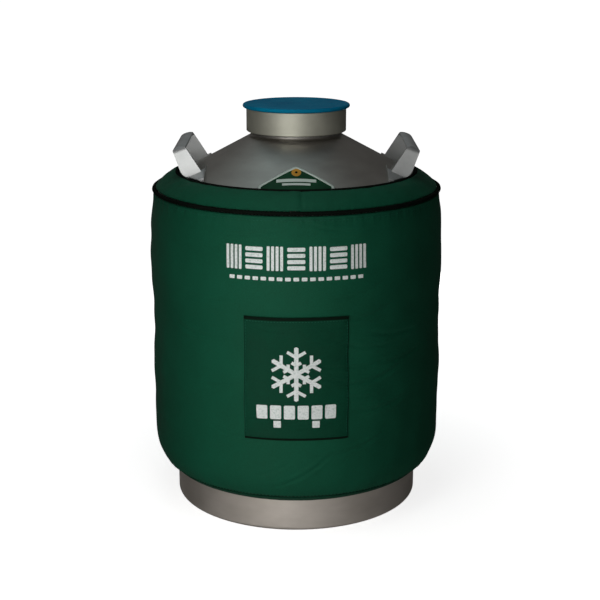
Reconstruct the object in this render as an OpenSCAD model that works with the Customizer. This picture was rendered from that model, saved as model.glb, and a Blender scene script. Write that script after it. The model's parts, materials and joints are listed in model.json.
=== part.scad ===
// Wide-neck liquid-nitrogen storage vessel in a padded fabric jacket.
// Origin on the floor under the vessel's axis, +Z up, front towards -Y, millimetres.

/* [Outer vessel] */
// Outside diameter of the vacuum vessel
tank_d = 461; // [455:1:465]
// Wall of the outer vessel
tank_wall = 2.3; // [2:0.1:3]
// Height of the lower end of the straight outer wall
barrel_base_z = 110; // [105:1:115]
// Height of the seam between the outer wall and the cone
barrel_top_z = 522; // [515:1:524]
// Slope of the cone below horizontal
cone_slope = 28.4; // [28:0.1:28.8]
// Outside diameter of the foot ring
base_d = 413; // [409:1:413]
// Wall of the foot ring
base_wall = 3; // [2.5:0.1:4]

/* [Inner vessel] */
// Outside diameter of the inner vessel
inner_d = 390; // [386:1:392]
// Wall of the inner vessel
inner_wall = 2; // [1.6:0.1:2.2]
// Height of the lower end of its straight wall
inner_base_z = 125; // [122:1:128]
// Height of the upper end of its straight wall
inner_top_z = 312; // [300:1:316]
// Thickness of the insulation wrapped round it
blanket_t = 14; // [10:1:16]

/* [Neck] */
// Clear bore of the neck tube
neck_bore_d = 125; // [124:1:126]
// Wall of the neck tube
neck_wall = 3; // [2.5:0.1:3]
// Outside diameter of the collar
collar_d = 165; // [164:1:167]
// Height of the collar's upper face
collar_top_z = 664; // [662:1:665]

/* [Canisters] */
// Number of canisters on the circle
canister_count = 6; // [6:1:6]
// Outside diameter of a canister
canister_d = 97; // [90:1:98]
// Height of a canister
canister_h = 120; // [100:1:122]
// Wall of a canister
canister_wall = 1; // [0.8:0.1:1.2]
// Diameter of the lifting rods
rod_d = 4; // [3.5:0.1:4]
// Distance of the rods from the vessel's axis
rod_circle_r = 55; // [54.5:0.1:55.5]

/* [Lid] */
// Diameter of the lid's cover
lid_d = 177; // [174:1:178]
// Thickness of the cover at its rim
lid_rim_t = 6.3; // [6:0.1:7]
// Diameter of the insulating plug
plug_d = 100; // [94:1:101]
// Height of the plug's lower face
plug_base_z = 466; // [450:1:500]

/* [Handles] */
// Distance over the two legs of a handle
handle_l = 174; // [170:1:176]
// Thickness of the handle strap
strap_t = 5.5; // [4:0.5:6]
// Width of the grip bar
grip_w = 20; // [18:1:20]
// Lean of a handle away from vertical
handle_lean = 20; // [19:1:21]

/* [Jacket] */
// Outside diameter of the padded jacket
jacket_d = 487.2; // [484:0.2:489]
// Clear gap between the jacket and the metal
jacket_gap = 1; // [0.8:0.1:1.2]
// Height of the jacket's lower hem
hem_z = 54; // [53:1:55]
// Diameter of the edge piping
piping_d = 6.5; // [6:0.5:7]
// Width of the front pocket
pocket_w = 163; // [150:1:170]
// Height of the front pocket
pocket_h = 201; // [180:1:210]
// Thickness of the pocket and of the closure flap
patch_t = 2.4; // [1.5:0.1:3]

/* [Hidden] */
CANISTERS = [for (i = [1:canister_count]) str("canister_", i)];
RODS = [for (i = [1:canister_count]) str("canister_rod_", i)];

round_fn = 96;
big = 700;
fit_gap = 0.1;

// Outer vessel
tank_r = tank_d / 2;
base_r = base_d / 2;
head_knuckle_r = 40;
head_crown_r = tank_d;
base_edge_r = 6;
base_lip = 8;

// Cone: a straight slope from the lip at its top to the knuckle above the barrel
cone_lip_r = 75;
cone_lip_top_z = 625.6;
cone_fillet_r = 6;
cone_knuckle_r = 8;
cone_line_r = 73.7;
cone_line_z = 620.6;
cone_knuckle_start_r = tank_r - cone_knuckle_r * (1 - sin(cone_slope));
cone_knuckle_z = cone_z(cone_knuckle_start_r) - cone_knuckle_r * cos(cone_slope);
cone_fillet_z = cone_z(cone_lip_r + cone_fillet_r) + cone_fillet_r / cos(cone_slope);

// Inner vessel
inner_r = inner_d / 2;
inner_knuckle_r = 35;
inner_crown_r = 420;
inner_crown_z = inner_base_z + sqrt(pow(inner_crown_r - inner_knuckle_r, 2)
    - pow(inner_r - inner_knuckle_r, 2));
blanket_gap = 1.5;
blanket_hole_r = 116;

// Neck
neck_bore_r = neck_bore_d / 2;
neck_tube_r = neck_bore_r + neck_wall;
collar_r = collar_d / 2;
collar_base_z = 626;
collar_spigot_r = cone_lip_r - tank_wall - fit_gap;
collar_spigot_z = 612;
collar_recess_r = 78;
collar_shelf_z = 648;
joint_ring_flange_r = 76;
joint_ring_hole_r = 71;
joint_ring_z = inner_dome_z(joint_ring_hole_r);
neck_base_z = joint_ring_z - 8;

// Canisters and what holds them
canister_r = canister_d / 2;
rod_r = rod_d / 2;
strap_foot_t = 1.5;
strap_foot_h = 34;
strap_foot_angle = 16;
rod_bite = 0.5;
canister_circle_r = rod_circle_r + rod_r + strap_foot_t + canister_r - rod_bite;
rack_r = 158;
rack_z = inner_floor_z(rack_r) + 0.1;
rack_t = 2.5;
canister_z = rack_z + rack_t + 1;
canister_step = 360 / canister_count;
hook_z = 654;
hook_reach_r = 72;
hook_bend_r = 5;
slot_clear = 0.35;
index_ring_t = 8;

// Lid
lid_r = lid_d / 2;
lid_base_z = collar_top_z + 0.3;
lid_top_z = lid_base_z + lid_rim_t;
lid_recess_r = 76;
lid_recess_z = lid_base_z + 3;
plug_r = plug_d / 2;
plug_sleeve_t = 1;

// Handles
handle_base_r = 168;
handle_top_h = 45.5;
grip_centre = 6.6;
grip_crown_r = 20;
bend_r = 9;
foot_l = 34;
foot_limit_r = 193;
foot_inner_x = 147;

// Vacuum port, on the cone behind the neck
port_circle_r = 135;
port_r = 12;
port_bore_r = 9;
port_h = 14;

// Jacket
jacket_r = jacket_d / 2;
piping_r = piping_d / 2;
piping_circle_r = 237.5;
piping_z = 532.5;
binding_circle_r = 198.2;
binding_z = 559;
binding_r = 2.6;
skin_r = tank_r + jacket_gap;
pocket_z = 171;
flap_w = 64;
flap_base_z = 122;
flap_top_z = 468;

// Height of the inner vessel's domed top, outside, at radius r
function inner_dome_z(r) =
    inner_base_z + inner_top_z - inner_crown_z + sqrt(pow(inner_crown_r, 2) - r * r);

// Height of the inner vessel's floor, inside, at radius r
function inner_floor_z(r) = inner_crown_z - sqrt(pow(inner_crown_r - inner_wall, 2) - r * r);

// Height of the cone's outer surface at radius r
function cone_z(r) = cone_line_z - (r - cone_line_r) * tan(cone_slope);

// Points of an arc about centre c
function arc(c, r, from, to, n = 8) =
    [for (i = [0:n]) let (a = from + (to - from) * i / n) [c[0] + r * cos(a), c[1] + r * sin(a)]];

function reversed(points) = [for (i = [len(points) - 1:-1:0]) points[i]];

function lifted(points, z) = [for (p = points) [p[0], p[1] + z]];

function mirrored(points, z) = [for (p = points) [p[0], z - p[1]]];

// Dished head seen in section, from the axis out to its rim at height 0, its crown below.
// inset moves the curve inwards.
function head_curve(r, knuckle_r, crown_r, inset) =
    let (
        span = crown_r - knuckle_r,
        height = sqrt(span * span - (r - knuckle_r) * (r - knuckle_r)),
        turn = asin((r - knuckle_r) / span)
    )
    concat(
        arc([0, height], crown_r - inset, -90, -90 + turn, 10),
        arc([r - knuckle_r, 0], knuckle_r - inset, -90 + turn, 0, 8));

function inner_curve(inset) = head_curve(inner_r, inner_knuckle_r, inner_crown_r, inset);

// Whole section of the inner vessel, moved in by inset
function inner_section(inset) =
    concat(
        lifted(inner_curve(inset), inner_base_z),
        reversed(mirrored(inner_curve(inset), inner_top_z)));

// The cone's outer surface in section, from the lip down to the barrel, moved in by inset
function cone_curve(inset) =
    concat(
        [[cone_lip_r - inset, cone_lip_top_z]],
        arc([cone_lip_r + cone_fillet_r, cone_fillet_z], cone_fillet_r + inset,
            180, 270 - cone_slope, 6),
        arc([tank_r - cone_knuckle_r, cone_knuckle_z], cone_knuckle_r - inset,
            90 - cone_slope, 0, 6),
        [[tank_r - inset, barrel_top_z]]);

// Everything under a surface that stands off the cone by gap
function under_cone(gap) =
    let (rise = gap / cos(cone_slope))
    [[0, 300], [tank_r + 20, 300], [tank_r + 20, cone_z(tank_r + 20) + rise],
     [cone_line_r, cone_line_z + rise], [0, cone_line_z + rise]];

module revolve(points) {
    rotate_extrude($fn = round_fn) polygon(points);
}

module tube(r_out, r_in, z0, z1) {
    translate([0, 0, z0]) difference() {
        cylinder(r = r_out, h = z1 - z0, $fn = round_fn);
        translate([0, 0, -1]) cylinder(r = r_in, h = z1 - z0 + 2, $fn = round_fn);
    }
}

// Puts a child that stands along +Z on the cone at radius r and turn degrees about the axis
module on_cone(r, turn) {
    rotate([0, 0, turn]) translate([r, 0, cone_z(r)]) rotate([0, cone_slope, 0]) children();
}

module base_ring() {
    edge = base_r - base_edge_r;
    top_z = barrel_base_z - sqrt(pow(head_knuckle_r, 2) - pow(base_r - tank_r + head_knuckle_r, 2));
    color("lightgray") difference() {
        revolve(concat(
            arc([edge, base_edge_r], base_edge_r, -90, 0),
            [[base_r, top_z + 2], [base_r - base_wall, top_z + 2]],
            arc([edge, base_edge_r], base_edge_r - base_wall, 0, -90),
            [[edge - base_lip, base_wall], [edge - base_lip, 0]]));
        translate([0, 0, barrel_base_z]) revolve(concat(
            head_curve(tank_r, head_knuckle_r, head_crown_r, 0),
            [[tank_r, 10], [0, 10]]));
    }
}

module outer_bottom_head() {
    color("silver") translate([0, 0, barrel_base_z]) revolve(concat(
        head_curve(tank_r, head_knuckle_r, head_crown_r, 0),
        reversed(head_curve(tank_r, head_knuckle_r, head_crown_r, tank_wall))));
}

module outer_barrel() {
    color("silver") tube(tank_r, tank_r - tank_wall, barrel_base_z, barrel_top_z);
}

module outer_cone() {
    color("gainsboro") difference() {
        revolve(concat(cone_curve(0), reversed(cone_curve(tank_wall))));
        on_cone(port_circle_r, 90)
            cylinder(r = port_bore_r, h = 40, center = true, $fn = 48);
    }
}

module neck_collar() {
    chamfer = 1;
    color("silver") revolve([
        [neck_tube_r + fit_gap, collar_spigot_z], [collar_spigot_r, collar_spigot_z],
        [collar_spigot_r, collar_base_z], [collar_r - chamfer, collar_base_z],
        [collar_r, collar_base_z + chamfer], [collar_r, collar_top_z - chamfer],
        [collar_r - chamfer, collar_top_z], [collar_recess_r, collar_top_z],
        [collar_recess_r, collar_shelf_z], [neck_tube_r + fit_gap, collar_shelf_z]]);
}

module neck_tube() {
    color("tan") tube(neck_tube_r, neck_bore_r, neck_base_z, collar_shelf_z);
}

module neck_joint_ring() {
    flange_z = joint_ring_z + fit_gap;
    flange_t = 4;
    spigot_z = neck_base_z - 2;
    sleeve_z = joint_ring_z + 24;
    sleeve_r = 69;
    bore_r = neck_tube_r + fit_gap;
    color("silver") revolve([
        [bore_r, spigot_z], [joint_ring_hole_r - fit_gap, spigot_z],
        [joint_ring_hole_r - fit_gap, flange_z], [joint_ring_flange_r, flange_z],
        [joint_ring_flange_r, flange_z + flange_t], [sleeve_r, flange_z + flange_t],
        [sleeve_r, sleeve_z], [bore_r, sleeve_z]]);
}

module inner_bottom_head() {
    color("silver") translate([0, 0, inner_base_z])
        revolve(concat(inner_curve(0), reversed(inner_curve(inner_wall))));
}

module inner_barrel() {
    color("silver") tube(inner_r, inner_r - inner_wall, inner_base_z, inner_top_z);
}

module inner_top_head() {
    color("silver") translate([0, 0, inner_top_z]) mirror([0, 0, 1]) difference() {
        revolve(concat(inner_curve(0), reversed(inner_curve(inner_wall))));
        translate([0, 0, -100]) cylinder(r = joint_ring_hole_r, h = 100, $fn = round_fn);
    }
}

module insulation_blanket() {
    color("lightyellow") difference() {
        rotate_extrude($fn = round_fn) difference() {
            polygon(inner_section(-blanket_gap - blanket_t));
            polygon(inner_section(-blanket_gap));
        }
        translate([0, 0, inner_top_z]) cylinder(r = blanket_hole_r, h = 200, $fn = round_fn);
    }
}

module adsorbent_tray() {
    tray_r = blanket_hole_r - 3;
    tray_bore_r = joint_ring_flange_r + 3;
    tray_top_z = joint_ring_z + 14;
    color("dimgray") difference() {
        tube(tray_r, tray_bore_r, inner_top_z + 20, tray_top_z);
        revolve(inner_section(0));
    }
}

module getter_cup() {
    cup_r = 14;
    cup_depth = 14;
    color("goldenrod") intersection() {
        on_cone(port_circle_r - 20, -60) translate([0, 0, -cup_depth - tank_wall])
            cylinder(r = cup_r, h = cup_depth + tank_wall, $fn = 48);
        revolve(under_cone(-tank_wall));
    }
}

module vacuum_port() {
    flange_r = port_r + 3;
    flange_t = 2;
    color("silver") difference() {
        on_cone(port_circle_r, 90) difference() {
            union() {
                translate([0, 0, -4]) cylinder(r = port_r, h = port_h + 4, $fn = 48);
                translate([0, 0, -4]) cylinder(r = flange_r, h = flange_t + 4, $fn = 48);
            }
            translate([0, 0, -5]) cylinder(r = port_bore_r, h = port_h + 10, $fn = 48);
        }
        revolve(under_cone(0));
    }
}

module vacuum_plug() {
    plug_fit = 0.06;
    groove_w = 2.6;
    groove_depth = 1.8;
    groove_h = 5;
    shank_h = 11;
    head_t = 2;
    color("goldenrod") on_cone(port_circle_r, 90) translate([0, 0, 2]) difference() {
        union() {
            cylinder(r = port_bore_r - plug_fit, h = shank_h, $fn = 48);
            translate([0, 0, port_h - 2]) cylinder(r = port_bore_r + 1.5, h = head_t, $fn = 48);
            cylinder(r = port_bore_r - 1, h = port_h, $fn = 48);
        }
        translate([0, 0, groove_h]) tube(port_bore_r + 1, port_bore_r - groove_depth, 0, groove_w);
    }
}

module vacuum_plug_seal() {
    seal_r = 0.84;
    seal_circle_r = port_bore_r - 0.95;
    seal_h = 8.3;
    color("black") on_cone(port_circle_r, 90) translate([0, 0, seal_h])
        rotate_extrude($fn = 48) translate([seal_circle_r, 0]) circle(r = seal_r, $fn = 24);
}

module vacuum_cap() {
    cap_gap = 0.4;
    cap_wall = 2.4;
    cap_top = port_h + 8;
    color("dimgray") on_cone(port_circle_r, 90) rotate_extrude($fn = 48) polygon(concat(
        [[port_r + cap_gap, 3], [port_r + cap_gap + cap_wall, 3]],
        arc([port_r + cap_gap, cap_top - cap_wall], cap_wall, 0, 90),
        [[0, cap_top], [0, cap_top - cap_wall], [port_r + cap_gap, cap_top - cap_wall]]));
}

// Section of a strap bent into an upside-down U: half length l, height h, outer corner radius r
module arch(l, h, r) {
    depth = 40;
    translate([-l, -depth]) square([2 * l, depth + h - r]);
    translate([-l + r, -depth]) square([2 * (l - r), depth + h]);
    for (side = [-1, 1]) translate([side * (l - r), h - r]) circle(r = r, $fn = 48);
}

// Outline of the strap seen along the grip bar: crowned on top, wider at the foot
module strap_outline() {
    half_w = grip_w / 2;
    inner = grip_centre - half_w;
    outer = grip_centre + half_w;
    belly_r = 22;
    belly_z = 10.3;
    root_z = -24;
    root_inner = -16;
    root_outer = 9;
    reach = 40;
    intersection() {
        polygon(concat(
            [[inner, handle_top_h + 2], [root_inner, -8], [root_inner, root_z], [root_outer, root_z]],
            arc([outer - belly_r, belly_z], belly_r, -50, 0, 6),
            [[outer, handle_top_h + 2]]));
        union() {
            translate([grip_centre, handle_top_h - grip_crown_r]) circle(r = grip_crown_r, $fn = 96);
            translate([-reach, -reach]) square([2 * reach, handle_top_h - grip_crown_r + reach]);
        }
    }
}

// Foot: a tab that lies on the cone, outside the leg and inside the jacket's edge
module handle_foot() {
    foot_in_y = handle_l / 2 - strap_t;
    foot_out_reach = 50;
    bore_r = 100;
    intersection() {
        difference() {
            revolve(under_cone(strap_t));
            revolve(under_cone(0));
        }
        difference() {
            cylinder(r = foot_limit_r, h = big, $fn = round_fn);
            translate([0, 0, -1]) cylinder(r = bore_r, h = big + 2, $fn = round_fn);
        }
        translate([foot_inner_x, -foot_in_y - foot_l, 0]) cube([foot_out_reach, foot_l, big]);
    }
}

module handle() {
    l = handle_l / 2;
    across = 120;
    along = 220;
    color("silver") {
        difference() {
            translate([handle_base_r, 0, cone_z(handle_base_r)]) rotate([0, handle_lean, 0])
                intersection() {
                    rotate([90, 0, 90]) linear_extrude(height = across, center = true) difference() {
                        arch(l, handle_top_h, bend_r);
                        arch(l - strap_t, handle_top_h - strap_t, bend_r - strap_t);
                    }
                    rotate([90, 0, 0]) linear_extrude(height = along, center = true) strap_outline();
                }
            revolve(under_cone(0));
        }
        handle_foot();
        mirror([0, 1, 0]) handle_foot();
    }
}

module handle_right() {
    handle();
}

module handle_left() {
    mirror([1, 0, 0]) handle();
}

module nameplate() {
    plate_t = 0.6;
    plate_front_y = -136;
    plate_half_w = 60;
    plate_half_l = 41;
    corner_r = 9;
    color("darkgreen") intersection() {
        difference() {
            revolve(under_cone(plate_t));
            revolve(under_cone(0));
        }
        translate([0, plate_front_y - plate_half_l, 0]) linear_extrude(height = big) hull() {
            for (side = [-1, 1]) {
                translate([side * (plate_half_w - corner_r), 0]) circle(r = corner_r, $fn = 32);
                translate([0, side * (plate_half_l - corner_r)]) circle(r = corner_r, $fn = 32);
            }
        }
    }
}

// Plate on the inner floor under the canisters, with a drain below each one
module rack_plate() {
    drain_r = 26;
    hub_hole_r = 38;
    color("whitesmoke") difference() {
        translate([0, 0, rack_z]) cylinder(r = rack_r, h = rack_t, $fn = round_fn);
        translate([0, 0, rack_z - 1]) cylinder(r = hub_hole_r, h = rack_t + 2, $fn = 64);
        for (i = [1:canister_count]) rotate([0, 0, i * canister_step])
            translate([canister_circle_r, 0, rack_z - 1])
                cylinder(r = drain_r, h = rack_t + 2, $fn = 48);
    }
}

// Fins that stand on the plate, one between each pair of canisters
module rack_fins() {
    fin_t = 2;
    fin_h = 19.5;
    fin_in_r = 64;
    fin_l = 88;
    color("whitesmoke") for (i = [1:canister_count]) rotate([0, 0, (i - 0.5) * canister_step])
        translate([fin_in_r, -fin_t / 2, rack_z + rack_t]) cube([fin_l, fin_t, fin_h]);
}

// Ring under the lid with one slot for each rod's hook
module index_ring() {
    ring_out_r = collar_recess_r - 0.3;
    ring_in_r = neck_bore_r + 0.5;
    slot_w = rod_d + 2 * slot_clear;
    slot_z = hook_z - rod_r - slot_clear;
    tip_r = rod_r + slot_clear;
    color("white") difference() {
        tube(ring_out_r, ring_in_r, collar_shelf_z, collar_shelf_z + index_ring_t);
        for (i = [1:canister_count]) rotate([0, 0, i * canister_step]) {
            translate([ring_in_r - 2, -slot_w / 2, slot_z])
                cube([hook_reach_r - ring_in_r + 2, slot_w, index_ring_t]);
            translate([hook_reach_r, 0, collar_shelf_z - 1])
                cylinder(r = tip_r, h = index_ring_t + 2, $fn = 32);
        }
    }
}

// Pail with a drained floor and a rolled rim
module canister(i) {
    rim_r = 1.2;
    drain_hole_r = 3;
    drain_circle_r = 28;
    in_r = canister_r - canister_wall;
    color("silver") rotate([0, 0, i * canister_step]) translate([canister_circle_r, 0, canister_z])
        difference() {
            rotate_extrude($fn = 64) {
                polygon([[0, 0], [canister_r, 0], [canister_r, canister_h - rim_r],
                         [in_r, canister_h - rim_r], [in_r, canister_wall], [0, canister_wall]]);
                translate([canister_r - rim_r, canister_h - rim_r]) circle(r = rim_r, $fn = 24);
            }
            for (k = [0:5]) rotate([0, 0, k * 60]) translate([drain_circle_r, 0, -1])
                cylinder(r = drain_hole_r, h = canister_wall + 2, $fn = 24);
            translate([0, 0, -1]) cylinder(r = drain_hole_r, h = canister_wall + 2, $fn = 24);
        }
}

// Lifting rod: a curved foot on the canister's wall, a long shank, and a hook at the neck
module canister_rod(i) {
    foot_r = canister_r + strap_foot_t;
    foot_z = canister_z + canister_h - strap_foot_h - 6;
    tip_drop = 4.4;
    color("gainsboro") rotate([0, 0, i * canister_step]) {
        translate([canister_circle_r, 0, foot_z]) rotate([0, 0, 180 - strap_foot_angle])
            rotate_extrude(angle = 2 * strap_foot_angle, $fn = 96)
                translate([canister_r, 0]) square([strap_foot_t, strap_foot_h]);
        translate([rod_circle_r, 0, foot_z])
            cylinder(r = rod_r, h = hook_z - hook_bend_r - foot_z, $fn = 24);
        translate([rod_circle_r + hook_bend_r, 0, hook_z - hook_bend_r]) rotate([90, 0, 0])
            rotate([0, 0, 90]) rotate_extrude(angle = 90, $fn = 96)
                translate([hook_bend_r, 0]) circle(r = rod_r, $fn = 24);
        translate([rod_circle_r + hook_bend_r, 0, hook_z]) rotate([0, 90, 0])
            cylinder(r = rod_r, h = hook_reach_r - rod_circle_r - hook_bend_r, $fn = 24);
        translate([hook_reach_r, 0, hook_z]) sphere(r = rod_r, $fn = 24);
        translate([hook_reach_r, 0, hook_z - tip_drop])
            cylinder(r = rod_r, h = tip_drop, $fn = 24);
    }
}

module lid_cover() {
    rim_r = lid_rim_t / 2;
    dish_r = 79;
    dish_depth = 0.8;
    color("steelblue") revolve(concat(
        [[0, lid_recess_z], [lid_recess_r, lid_recess_z], [lid_recess_r, lid_base_z]],
        arc([lid_r - rim_r, lid_base_z + rim_r], rim_r, -90, 90),
        [[dish_r + 2, lid_top_z], [dish_r, lid_top_z - dish_depth], [0, lid_top_z - dish_depth]]));
}

module plug_core() {
    core_gap = 0.2;
    core_r = plug_r - plug_sleeve_t - core_gap;
    core_z = plug_base_z + plug_sleeve_t + core_gap;
    color("wheat") translate([0, 0, core_z])
        cylinder(r = core_r, h = lid_recess_z - core_z, $fn = round_fn);
}

module plug_sleeve() {
    color("ivory") revolve([
        [0, plug_base_z], [plug_r, plug_base_z], [plug_r, lid_recess_z],
        [plug_r - plug_sleeve_t, lid_recess_z], [plug_r - plug_sleeve_t, plug_base_z + plug_sleeve_t],
        [0, plug_base_z + plug_sleeve_t]]);
}

// Jacket round the barrel, tucked in under the knuckle and thinner towards its top edge
module jacket_body() {
    tuck_r = 76;
    tuck_z = 115;
    tuck_angle = 39;
    top_r = piping_circle_r + 1;
    top_z = piping_z - piping_r - 1;
    shoulder_drop = 60;
    taper_drop = 30;
    taper = 1.2;
    hem_r = 218.2;
    hem_top = 13.4;
    color("darkgreen") revolve(concat(
        [[hem_r, hem_z + hem_top]],
        arc([jacket_r - tuck_r, tuck_z], tuck_r, -tuck_angle, 0, 6),
        [[jacket_r, top_z - shoulder_drop], [jacket_r - taper, top_z - taper_drop],
         [top_r, top_z]],
        [[skin_r, top_z], [skin_r, barrel_base_z]],
        arc([tank_r - head_knuckle_r, barrel_base_z], head_knuckle_r + jacket_gap, -6, -44, 6)));
}

// Padded ring that lies on the cone, between the piping and the binding round its inner edge
module jacket_shoulder() {
    bulge = 3.4;
    in_r = binding_circle_r + binding_r - 0.6;
    in_z = binding_z + binding_r - 1.2;
    out_r = piping_circle_r - piping_r - 0.4;
    out_z = piping_z + piping_r + 0.8;
    shoulder_base_z = piping_z - piping_r - 0.6;
    rise = jacket_gap / cos(cone_slope);
    steps = 8;
    crown = [for (i = [0:steps]) let (t = i / steps)
        [out_r + (in_r - out_r) * t, out_z + (in_z - out_z) * t + bulge * sin(180 * t)]];
    color("darkgreen") difference() {
        revolve(concat(
            [[in_r, cone_z(in_r) + rise]],
            arc([tank_r - cone_knuckle_r, cone_knuckle_z], cone_knuckle_r + jacket_gap,
                90 - cone_slope, 0, 6),
            [[skin_r, shoulder_base_z], [out_r, shoulder_base_z]],
            crown));
        translate([0, 0, binding_z]) rotate_extrude($fn = round_fn)
            translate([binding_circle_r, 0]) circle(r = binding_r + 0.3, $fn = 32);
    }
}

module jacket_piping() {
    color("black") rotate_extrude($fn = round_fn) translate([piping_circle_r, piping_z])
        circle(r = piping_r, $fn = 32);
}

module jacket_binding() {
    color("black") rotate_extrude($fn = round_fn) translate([binding_circle_r, binding_z])
        circle(r = binding_r, $fn = 32);
}

// Bound lower edge, tucked in against the foot ring
module jacket_hem() {
    grip = base_r + 0.6;
    color("darkgreen") revolve([
        [grip, hem_z], [grip + 1, hem_z], [grip + 8.9, hem_z + 4],
        [grip + 16.7, hem_z + 11.8], [grip + 10.6, hem_z + 12.6], [grip, hem_z + 10]]);
}

// A patch of the jacket's outer skin, w wide, from z0 to z1, facing -Y
module patch(w, z0, z1) {
    skin = 0.3;
    intersection() {
        tube(jacket_r + skin + patch_t, jacket_r + skin, z0, z1);
        translate([-w / 2, -jacket_r - 20, z0 - 1]) cube([w, 100, z1 - z0 + 2]);
    }
}

module jacket_pocket() {
    color("darkgreen") patch(pocket_w, pocket_z, pocket_z + pocket_h);
}

module jacket_closure_flap() {
    color("darkgreen") mirror([0, 1, 0]) patch(flap_w, flap_base_z, flap_top_z);
}

base_ring();
outer_bottom_head();
outer_barrel();
outer_cone();
neck_collar();
neck_tube();
neck_joint_ring();
inner_bottom_head();
inner_barrel();
inner_top_head();
insulation_blanket();
adsorbent_tray();
getter_cup();
vacuum_port();
vacuum_plug();
vacuum_plug_seal();
vacuum_cap();
handle_left();
handle_right();
nameplate();
rack_plate();
rack_fins();
index_ring();
for (i = [1:canister_count]) {
    canister(i);
    canister_rod(i);
}
lid_cover();
plug_core();
plug_sleeve();
jacket_body();
jacket_shoulder();
jacket_piping();
jacket_binding();
jacket_hem();
jacket_pocket();
jacket_closure_flap();
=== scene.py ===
"""Looks for a liquid-nitrogen vessel in a padded jacket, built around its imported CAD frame."""

import json
import math
import random

import bpy
import numpy as np
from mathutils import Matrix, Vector
from mathutils.bvhtree import BVHTree
from mathutils.geometry import delaunay_2d_cdt


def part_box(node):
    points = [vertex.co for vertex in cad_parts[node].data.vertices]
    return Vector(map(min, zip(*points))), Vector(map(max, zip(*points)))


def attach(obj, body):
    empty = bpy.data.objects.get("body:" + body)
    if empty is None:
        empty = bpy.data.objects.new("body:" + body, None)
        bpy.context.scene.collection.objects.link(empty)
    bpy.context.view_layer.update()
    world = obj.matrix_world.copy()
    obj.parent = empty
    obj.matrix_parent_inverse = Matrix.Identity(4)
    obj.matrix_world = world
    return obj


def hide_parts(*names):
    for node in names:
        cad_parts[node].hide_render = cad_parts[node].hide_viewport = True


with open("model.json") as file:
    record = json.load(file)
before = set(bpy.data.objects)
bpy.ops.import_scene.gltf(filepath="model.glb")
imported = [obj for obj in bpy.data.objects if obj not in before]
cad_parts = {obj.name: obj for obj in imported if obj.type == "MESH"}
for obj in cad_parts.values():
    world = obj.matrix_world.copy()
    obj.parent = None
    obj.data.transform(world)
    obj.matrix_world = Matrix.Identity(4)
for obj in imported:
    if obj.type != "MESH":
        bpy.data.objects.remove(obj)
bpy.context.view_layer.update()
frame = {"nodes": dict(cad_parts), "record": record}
MM = 0.001

# The vessel's own sizes, read from the frame
JACKET_LOW, JACKET_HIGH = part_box("jacket_body")
JACKET_R = JACKET_HIGH.x
POCKET_LOW, POCKET_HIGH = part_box("jacket_pocket")
FLAP_LOW, FLAP_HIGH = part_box("jacket_closure_flap")
SHOULDER_LOW, SHOULDER_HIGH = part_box("jacket_shoulder")
_, CONE_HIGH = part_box("outer_cone")
PLATE_LOW, PLATE_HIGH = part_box("nameplate")

# How finely the fabric is modelled
AROUND = 240
FABRIC_ROWS = 96
INNER_ROWS = 8
PUFF_FRAMES = 20

# The weave's thread pitch, and the depth of a metal's fine scratches
WEAVE_PITCH = 1.6 * MM
SCRATCH = 0.02 * MM


# ---------------- mesh helpers

def add_object(name, data):
    """A new object in the scene."""
    made = bpy.data.objects.new(name, data)
    bpy.context.scene.collection.objects.link(made)
    return made


def mesh_object(name, points, faces, smooth=True):
    """A mesh object in the row frame, in metres."""
    mesh = bpy.data.meshes.new(name)
    mesh.from_pydata([tuple(p) for p in points], [], [tuple(f) for f in faces])
    mesh.validate()
    mesh.polygons.foreach_set("use_smooth", [smooth] * len(mesh.polygons))
    return add_object(name, mesh)


def dress(piece, material, slot):
    """Gives a new piece its material and lets it ride on the vessel. Its slot argument is not used."""
    piece.data.materials.clear()
    piece.data.materials.append(material)
    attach(piece, "vessel")
    return piece


def points_of(mesh):
    """A mesh's vertices as an array."""
    points = np.empty(len(mesh.vertices) * 3)
    mesh.vertices.foreach_get("co", points)
    return points.reshape(-1, 3)


def set_points(mesh, points):
    """Writes an array back to a mesh's vertices."""
    mesh.vertices.foreach_set("co", points.ravel())
    mesh.update()


def tree_of(piece):
    """A search tree over a piece's faces."""
    return BVHTree.FromPolygons([v.co for v in piece.data.vertices],
                                [tuple(p.vertices) for p in piece.data.polygons])


def apply_modifiers(piece):
    """Replaces a piece's mesh with its evaluated one."""
    graph = bpy.context.evaluated_depsgraph_get()
    mesh = bpy.data.meshes.new_from_object(piece.evaluated_get(graph))
    piece.modifiers.clear()
    piece.data = mesh


def subdivide(piece):
    """One level of Catmull-Clark subdivision, applied."""
    modifier = piece.modifiers.new("Subdivision", "SUBSURF")
    modifier.levels = modifier.render_levels = 1
    apply_modifiers(piece)


def grid_faces(rows, columns, wrap_rows=False, wrap_columns=False):
    """Quads over a grid of points that is stored row by row."""
    faces = []
    for i in range(rows if wrap_rows else rows - 1):
        for j in range(columns if wrap_columns else columns - 1):
            a, b = i * columns + j, i * columns + (j + 1) % columns
            c = ((i + 1) % rows) * columns + (j + 1) % columns
            d = ((i + 1) % rows) * columns + j
            faces.append((a, b, c, d))
    return faces


def tube_faces(rings, sides, base=0):
    """Faces over rings of points that start at base, closed at both ends."""
    last = (rings - 1) * sides
    ends = [tuple(reversed(range(sides))), tuple(range(last, last + sides))]
    return [tuple(base + i for i in f) for f in grid_faces(rings, sides, False, True) + ends]


def thin_solid_faces(faces, count, rim):
    """Faces of a thin solid: a top skin, the same skin count points later, turned over, and the rim."""
    under = [tuple(i + count for i in reversed(f)) for f in faces]
    sides = [(b, a, a + count, b + count) for a, b in zip(rim, rim[1:] + rim[:1])]
    return [tuple(f) for f in faces] + under + sides


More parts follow.
